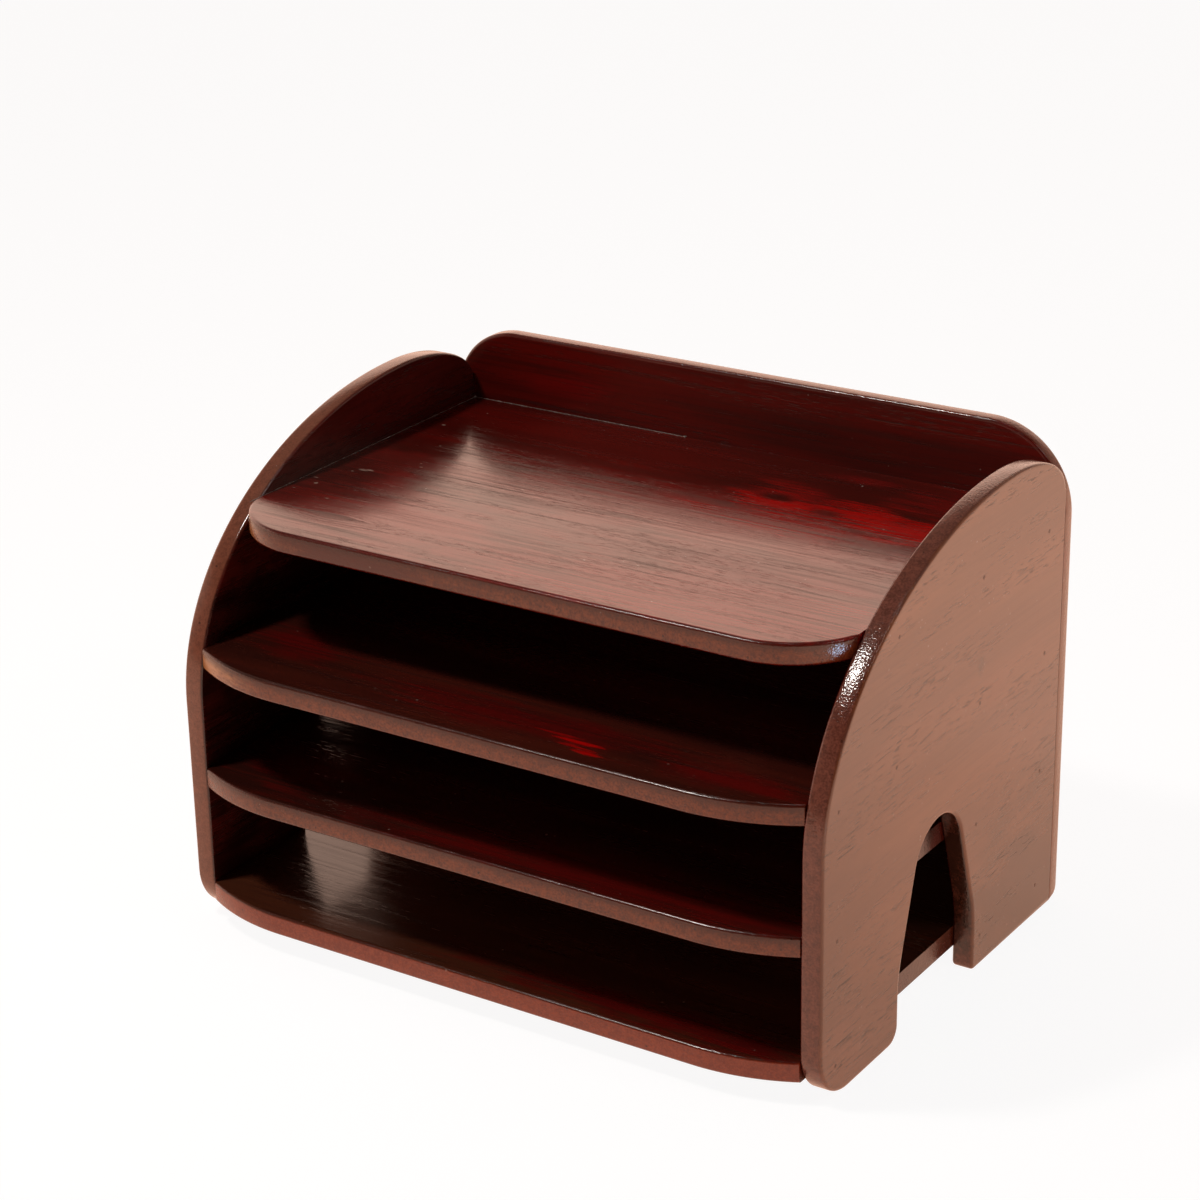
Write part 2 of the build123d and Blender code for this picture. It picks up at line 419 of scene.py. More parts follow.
def side_board(node, name):
    """One side, drawn at its inner or outer face and pushed through its thickness."""
    low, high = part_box(node)
    x, thickness = low.x, high.x - low.x
    front, rear, top = low.y, high.y, high.z
    peak = rear - rear_round_run
    rear_top = top - rear_round_drop
    middle = front + arch_centre
    half = arch_width / 2
    crown_z = arch_height - arch_crown_radius
    below = arch_leg_height - crown_z
    lean = math.atan2(below, half) + math.acos(arch_crown_radius / math.hypot(below, half))
    tangent = arch_crown_radius * Vector((math.cos(lean), math.sin(lean)))
    crown_rear = (middle + tangent.x, crown_z + tangent.y)
    crown_front = (middle - tangent.x, crown_z + tangent.y)
    knee_rear, knee_front = (middle + half, arch_leg_height), (middle - half, arch_leg_height)
    foot_rear, foot_front = (middle + half, 0), (middle - half, 0)
    bm = bmesh.new()
    outline = ellipse_quarter(bm, x, peak, front_edge_height, peak - front, top - front_edge_height, math.pi)
    outline += ellipse_quarter(bm, x, peak, rear_top, rear_round_run, rear_round_drop, math.pi / 2)[1:]
    outline += corners(bm, (x, rear, 0))
    outline += rounded(bm, x, foot_rear, (rear, 0), knee_rear, rear_leg_foot_radius)
    outline += rounded(bm, x, knee_rear, foot_rear, crown_rear, arch_knee_radius)
    crown_start = Vector((x, *crown_rear))
    crown_centre = Vector((x, middle, crown_z))
    outline += arc(bm, crown_start, crown_centre, (1, 0, 0), math.pi - 2 * lean, short_steps * 2)
    outline += rounded(bm, x, knee_front, crown_front, foot_front, arch_knee_radius)
    outline += rounded(bm, x, foot_front, knee_front, (front, 0), leg_foot_radius)
    outline += rounded(bm, x, (front, 0), (middle, 0), (front, front_edge_height), front_foot_radius)
    push_through(bm, bm.faces.new(outline), (thickness, 0, 0))
    ease_arrises(bm, "x", lambda middle_point: True)
    close_joint(bm, low.x, rear, rear_top)
    close_joint(bm, high.x, rear, rear_top)
    return board(bm, name, node, "x")


left_side = side_board("side_panel_left", "left_side_board")
right_side = side_board("side_panel_right", "right_side_board")

# %% [markdown]
# A shelf is straight along its front and sweeps back at both ends to meet the sides. The lower three bow
# out past the sides and the top one is set back between them, so each shelf takes its own radius, and its
# sweep follows from where the side's front edge is at that height.

# %% Shelf boards
lower_corner_radius = 0.100
top_corner_radius = 0.042


def side_front_at(height):
    """Where the sides' front edge is at a height."""
    low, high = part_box("side_panel_left")
    risen = max(height - front_edge_height, 0)
    run, rise = high.y - rear_round_run - low.y, high.z - front_edge_height
    return low.y + run - run / rise * math.sqrt(rise**2 - risen**2)


def shelf_board(node, name, radius):
    """One shelf, drawn at its underside and pushed up through its thickness."""
    low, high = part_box(node)
    sweep = min(side_front_at((low.z + high.z) / 2) - low.y, radius)
    turn = math.acos(1 - sweep / radius)
    straight = high.x - radius * math.sin(turn)
    centre_y = low.y + radius
    bm = bmesh.new()
    outline = corners(bm, (low.x, high.y, low.z))
    left_start = (low.x, centre_y - radius * math.cos(turn), low.z)
    outline += arc(bm, left_start, (-straight, centre_y, low.z), (0, 0, 1), turn, short_steps * 2)
    right_centre = (straight, centre_y, low.z)
    outline += arc(bm, (straight, low.y, low.z), right_centre, (0, 0, 1), turn, short_steps * 2)
    outline += corners(bm, (high.x, high.y, low.z))
    push_through(bm, bm.faces.new(outline), (0, 0, high.z - low.z))

    def on_front(middle_point):
        inside = abs(middle_point.x) < high.x - shading_margin / 10
        return inside and middle_point.y < high.y - shading_margin

    ease_arrises(bm, "z", on_front)
    return board(bm, name, node, "z")


bottom_shelf = shelf_board("shelf_bottom", "bottom_shelf_board", lower_corner_radius)
lower_shelf = shelf_board("shelf_lower_middle", "lower_middle_shelf_board", lower_corner_radius)
upper_shelf = shelf_board("shelf_upper_middle", "upper_middle_shelf_board", lower_corner_radius)
top_shelf = shelf_board("shelf_top", "top_shelf_board", top_corner_radius)

# %% [markdown]
# The back is one thin board with two generous round corners at the top, shaped by hand and not quite
# alike. A corner of a flat face can be rounded by a vertex bevel, and because these corners are square, the
# bevel's offset is the radius itself. Its lower rear edge is rounded over first, so that the rack doesn't
# catch when it is tipped back, and the arrises then run round the ends of that round too.

# %% Back board
back_left_radius = 0.034
back_right_radius = 0.040
back_foot_radius = 0.005
foot_steps = 3
corner_steps = 24
both_at_end = 1.99


def back_board(node, name):
    """The back, drawn at its front face and pushed back through its thickness."""
    low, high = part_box(node)
    bm = bmesh.new()
    bottom_corners = corners(bm, (low.x, low.y, 0), (high.x, low.y, 0))
    top_corners = corners(bm, (high.x, low.y, high.z), (low.x, low.y, high.z))
    bm.faces.new(bottom_corners + top_corners)
    for corner, radius in zip(top_corners, (back_right_radius, back_left_radius)):
        round_over(bm, [corner], radius, corner_steps, "VERTICES")
    bm.faces.ensure_lookup_table()
    push_through(bm, bm.faces[0], (0, high.y - low.y, 0))

    def on_foot(vertex):
        return vertex.co.z < hair and vertex.co.y > high.y - hair

    foot = [edge for edge in bm.edges if all(on_foot(vertex) for vertex in edge.verts)]
    round_over(bm, foot, back_foot_radius, foot_steps)
    ends = [edge for edge in bm.edges
            if abs(edge.verts[0].co.x + edge.verts[1].co.x) > high.x * both_at_end
            and max(vertex.co.z for vertex in edge.verts) < back_foot_radius + hair]

    def is_sharp(middle_point):
        return middle_point.y < high.y - hair or middle_point.z > back_foot_radius + hair

    ease_arrises(bm, "y", is_sharp, ends)
    close_joint(bm, low.x, low.y, high.z - back_left_radius)
    close_joint(bm, high.x, low.y, high.z - back_right_radius)
    return board(bm, name, node, "y")


back = back_board("back_panel", "back_board")

# %% [markdown]
# The nails' heads are sunk and covered with plugs of putty. The plugs are already in the frame as round
# slugs, so each is taken over, its outer end is swollen by a hair and its rim is softened, as putty is
# after it was wiped.

# %% Putty plugs
plug_swell = 0.00006
plug_rim = 0.0003
plug_rim_steps = 3
flat_angle = math.radians(2)
end_facing = 0.99


def putty_plugs(node, name, outward):
    """All plugs of one face, from the frame's slugs."""
    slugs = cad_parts[node]
    outward = Vector(outward)
    bm = bmesh.new()
    bm.from_mesh(slugs.data)
    bm.transform(slugs.matrix_world)
    bmesh.ops.remove_doubles(bm, verts=bm.verts, dist=hair)
    bmesh.ops.dissolve_limit(bm, angle_limit=flat_angle, verts=bm.verts, edges=bm.edges)
    bm.normal_update()
    ends = [face for face in bm.faces if face.normal.dot(outward) > end_facing]
    end_verts = list({vertex for face in ends for vertex in face.verts})
    bmesh.ops.translate(bm, vec=outward * plug_swell, verts=end_verts)
    rims = list({edge for face in ends for edge in face.edges})
    round_over(bm, rims, plug_rim, plug_rim_steps)
    plugs = new_piece(bm, name)
    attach(plugs, "root")
    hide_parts(node)
    return plugs


plugs = [
    putty_plugs("side_nail_fillers_left", "left_putty_plugs", (-1, 0, 0)),
    putty_plugs("side_nail_fillers_right", "right_putty_plugs", (1, 0, 0)),
    putty_plugs("back_nail_fillers", "back_putty_plugs", (0, 1, 0)),
]

# %% [markdown]
# Where the top shelf meets the left side and the back, a hair of glue was squeezed out and has dried grey.
# Each bead is a thin rod laid in the corner, and smooth noise makes it swell and starve along its length.

# %% Glue beads
bead_radius = 0.00027
bead_sides = 6
bead_step = 0.0012
bead_mean, bead_least = 0.75, 0.15
slow_swell, slow_pitch = 0.9, 160
fast_swell, fast_pitch = 0.5, 700
drop_length = 0.0011
left_drop, back_drop = 2.2, 2.4
bead_lift = 0.2
left_bead_start = 0.024
back_bead_end = -0.032


def glue_bead(name, start, end, blob):
    """A starved bead of glue between two points, with a drop at its end."""
    start, end = Vector(start), Vector(end)
    length = (end - start).length
    steps = round(length / bead_step)
    bm = bmesh.new()
    bmesh.ops.create_cone(bm, segments=bead_sides, radius1=bead_radius, radius2=bead_radius, depth=length,
                          cap_ends=True)
    lengthwise = [edge for edge in bm.edges if abs(edge.verts[0].co.z - edge.verts[1].co.z) > length / 2]
    bmesh.ops.subdivide_edges(bm, edges=lengthwise, cuts=steps, use_grid_fill=True)
    for vertex in bm.verts:
        along = vertex.co.z + length / 2
        slow = slow_swell * noise_at(Vector((along * slow_pitch, 3.0, 0.0)))
        fast = fast_swell * noise_at(Vector((along * fast_pitch, 9.0, 0.0)))
        drop = blob * math.exp(-(((length - along) / drop_length) ** 2))
        vertex.co.xy *= max(bead_mean + slow + fast, bead_least) + drop
    turn = (end - start).to_track_quat("Z", "Y").to_matrix().to_4x4()
    bm.transform(Matrix.Translation((start + end) / 2) @ turn)
    bead = new_piece(bm, name)
    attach(bead, "root")
    return bead


shelf_low, shelf_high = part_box("shelf_top")
bead_z = shelf_high.z + bead_radius * bead_lift
corner_point = (shelf_low.x, shelf_high.y, bead_z)
left_start = (shelf_low.x, shelf_low.y + left_bead_start, bead_z)
back_end = (back_bead_end, shelf_high.y, bead_z)
beads = [
    glue_bead("left_glue_bead", left_start, corner_point, left_drop),
    glue_bead("back_glue_bead", corner_point, back_end, back_drop),
]

# %% [markdown]
# Now the finish. Everything that several boards share is a node group: a group is built once, and each
# material then gives it its own values. The groups put out masks and heights only, and the shader itself
# stays in each material.
#
# The first group is the wood. Growth rings lie about the tree's middle, so a ring texture that is drawn out
# along the grain and cut by the board gives its long lines. Fibres are noise drawn out along the grain, and
# pores are the same noise, shorter and finer, with only its peaks kept.

# %% Wood figure group
def new_group(name, inputs, outputs):
    """An empty shader group with named sockets; gives the group and its two end nodes."""
    group = bpy.data.node_groups.new(name, "ShaderNodeTree")
    for label, kind in inputs.items():
        group.interface.new_socket(label, in_out="INPUT", socket_type=kind)
    for label in outputs:
        group.interface.new_socket(label, in_out="OUTPUT", socket_type="NodeSocketFloat")
    return group, put(group, "NodeGroupInput"), put(group, "NodeGroupOutput")


def hand_out(group, leave, **values):
    """Links a group's results to its outputs."""
    for label, value in values.items():
        group.links.new(value, leave.inputs[label])


vector_in = {"Vector": "NodeSocketVector"}
ring_pitch = 0.006
wave_length_at_one = 0.314
ring_stretch = (0.12, 1.0, 1.0)
figure, enter, leave = new_group("wood figure", vector_in, ["Bands", "Fibres", "Lines", "Pores", "Tear"])
grain = enter.outputs["Vector"]
bands = noise(figure, grain, (5.0, 45.0, 45.0), 2.0)
fibres = noise(figure, grain, (15.0, 620.0, 620.0), 3.0, 0.6)
ring_wave = put(figure, "ShaderNodeTexWave", {
    "Vector": vectors(figure, "MULTIPLY", grain, ring_stretch),
    "Scale": wave_length_at_one / ring_pitch,
    "Distortion": 13.0,
    "Detail": 1.0,
    "Detail Scale": 0.38,
    "Detail Roughness": 0.4,
}, wave_type="RINGS", rings_direction="X", wave_profile="SAW").outputs["Fac"]
late_wood = remap(figure, ring_wave, 0.7, 0.98)
line_places = remap(figure, noise(figure, grain, (7.0, 90.0, 90.0), 2.0, 0.6), 0.47, 0.66)
lines = times(figure, late_wood, line_places)
pore_peaks = remap(figure, noise(figure, grain, (130.0, 1500.0, 1500.0), 1.0), 0.59, 0.69)
pore_places = remap(figure, noise(figure, grain, (9.0, 90.0, 90.0), 1.0), 0.38, 0.62)
pores = times(figure, pore_peaks, pore_places)
broad_tear = remap(figure, noise(figure, grain, (38.0, 110.0, 110.0), 3.0), 0.25, 0.75, -0.35, 0.35)
fine_tear = remap(figure, fibres, 0.25, 0.75, -0.3, 0.3)
tear = plus(figure, broad_tear, fine_tear)
hand_out(figure, leave, Bands=bands, Fibres=fibres, Lines=lines, Pores=pores, Tear=tear)
print("wood figure nodes:", len(figure.nodes))

# %% [markdown]
# The second group is the lacquer film. On the flat faces it lies smooth, with a long slow wave in it. On
# the narrow edges the end grain has drunk it, and it dries to a coarse orange peel that sparkles, with a
# few burst bubbles. The rim attribute says where. The height is in millimetres.

# %% Lacquer film group
film_sockets = vector_in | {"Peel": "NodeSocketFloat"}
lump_share = 0.2
face_peel_height = 0.006
slow_wave_height = 0.1
bubble_cells = 250.0
bubble_depth = 0.08
film, enter, leave = new_group("lacquer film", film_sockets, ["Height", "Roughness", "Pits", "Mottle"])
place = enter.outputs["Vector"]
rim = remap(film, put(film, "ShaderNodeAttribute", attribute_name="rim").outputs["Fac"], 0.05, 0.5)
grains = noise(film, place, even(1100.0), 1.0)
lumps = noise(film, place, even(420.0), 1.0)
peel = plus(film, grains, times(film, lumps, lump_share))
edge_peel = times(film, times(film, peel, rim), enter.outputs["Peel"])
face_peel = times(film, lumps, face_peel_height)
slow_wave = times(film, noise(film, place, even(28.0), 1.0), slow_wave_height)
bubbles = put(film, "ShaderNodeTexVoronoi", {"Vector": place, "Scale": bubble_cells})
bubble_pick = put(film, "ShaderNodeSeparateColor", {0: bubbles.outputs["Color"]}).outputs[0]
bubble_size = remap(film, bubble_pick, 0.82, 1.0, 0.0, 0.16)
craters = arithmetic(film, "LESS_THAN", bubbles.outputs["Distance"], bubble_size)
pits = times(film, craters, rim)
swell = plus(film, plus(film, edge_peel, face_peel), slow_wave)
height = arithmetic(film, "SUBTRACT", swell, times(film, pits, bubble_depth))
uneven = remap(film, noise(film, place, (12.0, 60.0, 60.0), 3.0), 0.3, 0.7, 0.12, 0.16)
blotches = noise(film, place, even(300.0), 3.0, 0.6)
spots = plus(film, times(film, grains, 0.5), times(film, blotches, 0.5))
mottle = remap(film, spots, 0.3, 0.72)
hand_out(film, leave, Height=height, Roughness=uneven, Pits=pits, Mottle=mottle)
print("lacquer film nodes:", len(film.nodes))

# %% [markdown]
# The third group is a patch: a spot at a place and of a size, torn along the grain by the figure's noises.
# It serves for bare red spots where the dark stain didn't take, and on the sides also for painted light and
# shade. The fourth is the rub along the arrises, broken up by noise: worn wood on the shelves and the back,
# and a pale painted highlight along the sides' arrises. The fifth is dust: the middles of a few cells of a
# cell texture.

# %% Patch, rub and highlight, and dust groups
patch_sockets = {"Vector": "NodeSocketVector", "Centre": "NodeSocketVector", "Size": "NodeSocketVector"}
patch, enter, leave = new_group("torn patch", patch_sockets | {"Tear": "NodeSocketFloat"}, ["Mask"])
offset = vectors(patch, "SUBTRACT", enter.outputs["Vector"], enter.outputs["Centre"])
reach = vectors(patch, "DIVIDE", offset, enter.outputs["Size"])
distance = put(patch, "ShaderNodeVectorMath", {0: reach}, operation="LENGTH").outputs["Value"]
torn = plus(patch, distance, enter.outputs["Tear"])
hand_out(patch, leave, Mask=remap(patch, torn, 0.15, 1.35, 1.0, 0.0))

# On the sides this arris mask also carries a pale painted highlight along the arris.
rub_and_highlight_group, enter, leave = new_group("arris rub and painted highlight", vector_in, ["Mask"])
arris = put(rub_and_highlight_group, "ShaderNodeAttribute", attribute_name="arris").outputs["Fac"]
rub_and_highlight_mask = remap(rub_and_highlight_group, noise(rub_and_highlight_group, enter.outputs["Vector"], even(60.0), 4.0, 0.6), 0.46, 0.66)
hand_out(rub_and_highlight_group, leave, Mask=times(rub_and_highlight_group, remap(rub_and_highlight_group, arris, 0.4, 0.95), rub_and_highlight_mask))

dust_cells = 260.0
dust, enter, leave = new_group("dust specks", vector_in, ["Mask"])
cells = put(dust, "ShaderNodeTexVoronoi", {"Vector": enter.outputs["Vector"], "Scale": dust_cells})
cell_pick = put(dust, "ShaderNodeSeparateColor", {0: cells.outputs["Color"]}).outputs[0]
speck_size = remap(dust, cell_pick, 0.7, 1.0, 0.0, 0.15)
speck = arithmetic(dust, "LESS_THAN", cells.outputs["Distance"], speck_size)
drifts = remap(dust, noise(dust, enter.outputs["Vector"], even(35.0), 2.0), 0.5, 0.64)
hand_out(dust, leave, Mask=times(dust, speck, drifts))
print("groups:", [group.name for group in bpy.data.node_groups])

# %% [markdown]
# A lacquered board's material starts from the board's own coordinates. A mapping turns them so that X runs
# along the grain and moves the tree's middle to where the figure should come from. A knot draws the grain
# together round it. Stain colours are blended by the figure, then come the patches, the narrow edges, the
# rubbed arrises and the pores. The patches are bare spots, and on the sides also painted light and shade.
# The upper part of a shelf's front edge gets a painted shade, and on the sides the rubbed arris is pale, as
# a painted highlight. The wood itself is dark nearly everywhere, and what looks pale on it is the lacquer's
# mirror image of the studio, so the growth lines and pores also make the gloss rougher: that is what shows
# them in the pale parts. A board that has cupped a little is given a slope in its height, in millimetres a
# metre, which moves the mirror image and nothing else.

# %% Lacquered wood
lacquer_ior = 1.53
millimetre = 0.001
face_start, face_full = 0.1615, 0.1648
shade_start, shade_full = 0.0055, 0.0012
shade_share = 0.8
# Heights between which the sides' arris rub, and with it their painted arris highlight, comes in.
painted_highlight_start, painted_highlight_full = 0.1, 0.19
pore_share, outer_pore_share = 0.35, 0.7
outer_fibre_share, outer_line_share = 0.3, 0.15
fibre_stain, line_stain, pit_stain = 0.5, 0.4, 0.6
line_matt, fibre_matt, pore_matt, rub_matt = 0.12, 0.12, 0.3, 0.08
pore_depth, fibre_depth, line_depth = 0.06, 0.012, 0.015
dust_colour = (0.35, 0.3, 0.27, 1.0)


def use_group(tree, group, **values):
    """Places a shared group in a material, with links or plain values for its inputs."""
    return put(tree, "ShaderNodeGroup", values, node_tree=group).outputs


def lay_patches(tree, tone, patches, place, tear):
    """A colour with torn patches of other colours laid over it."""
    for centre, size, colour in patches:
        spot = use_group(tree, patch, Vector=place, Centre=centre, Size=size, Tear=tear)
        tone = mix_colour(tree, spot["Mask"], tone, colour)
    return tone


def bend_grain(tree, place, knots):
    """Coordinates that are drawn together round each knot."""
    bent = place
    for centre, size, squeeze in knots:
        near = use_group(tree, patch, Vector=place, Centre=centre, Size=size, Tear=0.0)["Mask"]
        sockets = {0: vectors(tree, "SUBTRACT", place, centre), "Scale": times(tree, near, squeeze)}
        pull = put(tree, "ShaderNodeVectorMath", sockets, operation="SCALE").outputs[0]
        bent = vectors(tree, "SUBTRACT", bent, pull)
    return bent


def lacquered_wood(name, turn, middle, colours, patches=(), edge_patches=(), outer=None, peel=0.12,
                   dusty=0.35, cup=0.0, top=None, knots=()):
    """A stained and lacquered wood: its grain's turn, the tree's middle, its colours and its patches, which
    are bare spots, and on the sides painted light and shade.
    """
    material = bpy.data.materials.new(name)
    material.use_nodes = True
    tree = material.node_tree
    place = put(tree, "ShaderNodeTexCoord").outputs["Object"]
    parts = put(tree, "ShaderNodeSeparateXYZ", {0: place})
    sockets = {"Vector": bend_grain(tree, place, knots), "Location": middle, "Rotation": (0.0, 0.0, turn)}
    grain = put(tree, "ShaderNodeMapping", sockets, vector_type="TEXTURE").outputs[0]
    wood = use_group(tree, figure, Vector=grain)
    shine = use_group(tree, film, Vector=place, Peel=peel)
    rim = put(tree, "ShaderNodeAttribute", attribute_name="rim").outputs["Fac"]
    on_face = remap(tree, rim, 0.2, 0.7, 1.0, 0.0)
    fibres = times(tree, remap(tree, wood["Fibres"], 0.4, 0.72), on_face)
    lines = times(tree, wood["Lines"], on_face)
    pores = times(tree, times(tree, wood["Pores"], on_face), outer_pore_share if outer else pore_share)
    rub_and_highlight_mask = use_group(tree, rub_and_highlight_group, Vector=place)["Mask"]

    tone = mix_colour(tree, remap(tree, wood["Bands"], 0.35, 0.65), colours["deep"], colours["pale"])
    tone = lay_patches(tree, tone, patches, place, wood["Tear"])
    if outer:
        deep, pale, face_shade_and_mark_patches = outer
        outwards = arithmetic(tree, "ABSOLUTE", parts.outputs[0], 0.0)
        outside = remap(tree, outwards, face_start, face_full)
        face = mix_colour(tree, remap(tree, wood["Bands"], 0.3, 0.7), deep, pale)
        # On the right side these face patches are mostly painted shade and light, with one small real mark.
        face = lay_patches(tree, face, face_shade_and_mark_patches, place, wood["Tear"])
        tone = mix_colour(tree, outside, tone, face)
        fibres = times(tree, fibres, remap(tree, outwards, face_start, face_full, 1.0, outer_fibre_share))
        lines = times(tree, lines, remap(tree, outwards, face_start, face_full, 1.0, outer_line_share))
        # On the sides the arris rub is kept to the upper curve, where it paints a pale highlight along the
        # arris.
        rub_and_highlight_mask = times(tree, rub_and_highlight_mask, remap(tree, parts.outputs[2], painted_highlight_start, painted_highlight_full))
    tone = mix_colour(tree, times(tree, fibres, fibre_stain), tone, colours["vein"])
    tone = mix_colour(tree, times(tree, lines, line_stain), tone, colours["vein"])
    edge = mix_colour(tree, shine["Mottle"], colours["edge deep"], colours["edge pale"])
    edge = lay_patches(tree, edge, edge_patches, place, wood["Tear"])
    if top:
        upper = remap(tree, parts.outputs[2], top - shade_start, top - shade_full, 0.0, shade_share)
        edge = mix_colour(tree, upper, edge, colours["edge shade"])
    tone = mix_colour(tree, remap(tree, rim, 0.25, 0.85), tone, edge)
    # The rub colour is worn wood on the shelves and back, and a painted highlight on the sides.
    tone = mix_colour(tree, rub_and_highlight_mask, tone, colours["rub and highlight"])
    tone = mix_colour(tree, pores, tone, colours["pore"])
    tone = mix_colour(tree, times(tree, shine["Pits"], pit_stain), tone, colours["pore"])
    specks = times(tree, use_group(tree, dust, Vector=place)["Mask"], dusty)
    tone = mix_colour(tree, specks, tone, dust_colour)

    dull = plus(tree, times(tree, lines, line_matt), times(tree, fibres, fibre_matt))
    duller = plus(tree, dull, times(tree, pores, pore_matt))
    matt = plus(tree, duller, times(tree, rub_and_highlight_mask, rub_matt))
    roughness = plus(tree, shine["Roughness"], matt)
    sunk = plus(tree, times(tree, pores, pore_depth), times(tree, fibres, fibre_depth))
    deeper = plus(tree, sunk, times(tree, lines, line_depth))
    height = arithmetic(tree, "SUBTRACT", shine["Height"], deeper)
    if cup:
        height = arithmetic(tree, "SUBTRACT", height, times(tree, parts.outputs[1], cup))
    sockets = {"Strength": 1.0, "Distance": millimetre, "Height": height}
    bump = put(tree, "ShaderNodeBump", sockets).outputs[0]
    shader = tree.nodes["Principled BSDF"]
    shader.inputs["IOR"].default_value = lacquer_ior
    tree.links.new(tone, shader.inputs["Base Color"])
    tree.links.new(roughness, shader.inputs["Roughness"])
    tree.links.new(bump, shader.inputs["Normal"])
    return material


print("lacquer ready")

# %% [markdown]
# Every board now gets its own stain and its own marks. A mark's row holds its place along X and Y, its
# reach along both, and its colour. All marks on one shelf share the shelf's upper face and a depth. The
# palest marks are fluff and dust on the top shelf. The sides' patches are mostly painted light and shade:
# a near-black patch on the left side's inner face inside the trays, a dark one on the walls of the right
# side's arch, and darker and lighter patches low on the right side's outer face.

# %% Stains, marks and painted shade
top_face, upper_face, lower_face, bottom_face = 0.194, 0.136, 0.078, 0.02
top_depth, tray_depth = 0.03, 0.006
along_x, along_y = 0.0, math.pi / 2


def paint(red, green, blue):
    """A linear colour with full cover."""
    return (red, green, blue, 1.0)


def with_edges(colours, deep, pale):
    """The same stain with other colours on the narrow edges."""
    return colours | {"edge deep": deep, "edge pale": pale}


def marks(height, depth, rows):
    """Patches at one height, from rows of a place, a reach and what they bring."""
    return [((x, y, height), (run, width, depth), brought) for x, y, run, width, brought in rows]


shelf_colours = {
    "deep": paint(0.055, 0.0035, 0.002),
    "pale": paint(0.115, 0.005, 0.003),
    "vein": paint(0.02, 0.003, 0.002),
    "edge deep": paint(0.065, 0.012, 0.005),
    "edge pale": paint(0.18, 0.042, 0.013),
    "edge shade": paint(0.035, 0.005, 0.003),
    "rub and highlight": paint(0.06, 0.007, 0.004),
    "pore": paint(0.012, 0.003, 0.002),
}
bare_red = paint(0.4, 0.002, 0.001)
mid_red = paint(0.24, 0.004, 0.003)
dull_red = paint(0.15, 0.004, 0.003)
faint_red = paint(0.1, 0.004, 0.003)
salmon = paint(0.19, 0.01, 0.008)
bare_tan = paint(0.36, 0.16, 0.06)
fluff = paint(0.3, 0.22, 0.18)
top_patches = marks(top_face, top_depth, [
    (0.062, -0.068, 0.13, 0.03, paint(0.2, 0.01, 0.008)),
    (-0.08, -0.05, 0.06, 0.035, paint(0.17, 0.01, 0.008)),
    (0.03, 0.02, 0.15, 0.034, paint(0.17, 0.006, 0.004)),
    (-0.064, -0.0465, 0.034, 0.01, salmon),
    (0.11, -0.045, 0.06, 0.026, salmon),
    (0.13, 0.085, 0.034, 0.02, dull_red),
    (0.06, 0.036, 0.044, 0.02, mid_red),
    (0.05, 0.065, 0.024, 0.013, mid_red),
    (0.058, 0.052, 0.024, 0.01, bare_red),
    (0.092, 0.058, 0.026, 0.013, bare_red),
    (0.12, 0.052, 0.032, 0.013, bare_red),
    (0.048, 0.061, 0.01, 0.0045, paint(0.05, 0.003, 0.002)),
    (0.076, 0.053, 0.01, 0.0045, paint(0.1, 0.006, 0.004)),
    (-0.112, -0.012, 0.015, 0.012, dull_red),
    (0.072, 0.1, 0.02, 0.005, dull_red),
    (-0.137, -0.005, 0.0024, 0.0009, fluff),
    (-0.116, 0.012, 0.0012, 0.0006, fluff),
    (-0.128, -0.044, 0.0013, 0.0007, fluff),
    (-0.15, -0.04, 0.001, 0.0006, fluff),
    (-0.143, 0.067, 0.001, 0.0006, fluff),
    (-0.134, -0.0035, 0.0016, 0.0006, fluff),
    (-0.1405, -0.0085, 0.0009, 0.0006, fluff),
    (-0.15, -0.024, 0.0018, 0.0007, fluff),
    (-0.145, -0.03, 0.0008, 0.0008, fluff),
    (-0.119, 0.016, 0.001, 0.0005, fluff),
    (-0.157, -0.018, 0.001, 0.0008, fluff),
    (-0.126, 0.041, 0.0008, 0.0005, fluff),
])
top_knots = marks(top_face, top_depth, [
    (-0.111, -0.061, 0.022, 0.008, 0.85),
    (0.118, -0.02, 0.034, 0.008, 0.7),
])
top_ends = [
    ((-0.085, -0.0895, 0.189), (0.06, 0.03, 0.03), paint(0.07, 0.008, 0.003)),
    ((-0.15, -0.064, 0.188), (0.028, 0.026, 0.012), bare_tan),
]
upper_patches = marks(upper_face, tray_depth, [
    (-0.122, -0.076, 0.03, 0.016, faint_red),
    (0.01, -0.094, 0.08, 0.013, paint(0.09, 0.004, 0.003)),
    (0.12, -0.1, 0.04, 0.009, faint_red),
    (0.033, -0.0985, 0.012, 0.0013, mid_red),
    (0.047, -0.1012, 0.013, 0.0011, bare_red),
    (0.043, -0.1055, 0.006, 0.0014, mid_red),
    (0.053, -0.108, 0.007, 0.0024, bare_red),
])
upper_ends = [((-0.147, -0.1045, 0.131), (0.024, 0.018, 0.012), bare_tan)]
lower_patches = marks(lower_face, tray_depth, [
    (0.06, -0.106, 0.15, 0.016, faint_red),
    (-0.12, -0.08, 0.035, 0.02, faint_red),
])
bottom_patches = marks(bottom_face, tray_depth, [(0.09, -0.106, 0.1, 0.012, faint_red)])
back_patches = [
    ((-0.103, 0.1105, 0.209), (0.026, 0.02, 0.008), dull_red),
    ((0.0, 0.1105, 0.07), (0.4, 0.006, 0.075), paint(0.15, 0.065, 0.02)),
]
back_ends = [((0.165, 0.1145, 0.09), (0.02, 0.03, 0.13), paint(0.15, 0.054, 0.023))]
# Painted shade: the left side's inner face made nearly black inside the trays.
tray_wall_painted_shade = [((-0.155, -0.04, 0.09), (0.02, 0.14, 0.11), paint(0.015, 0.003, 0.002))]
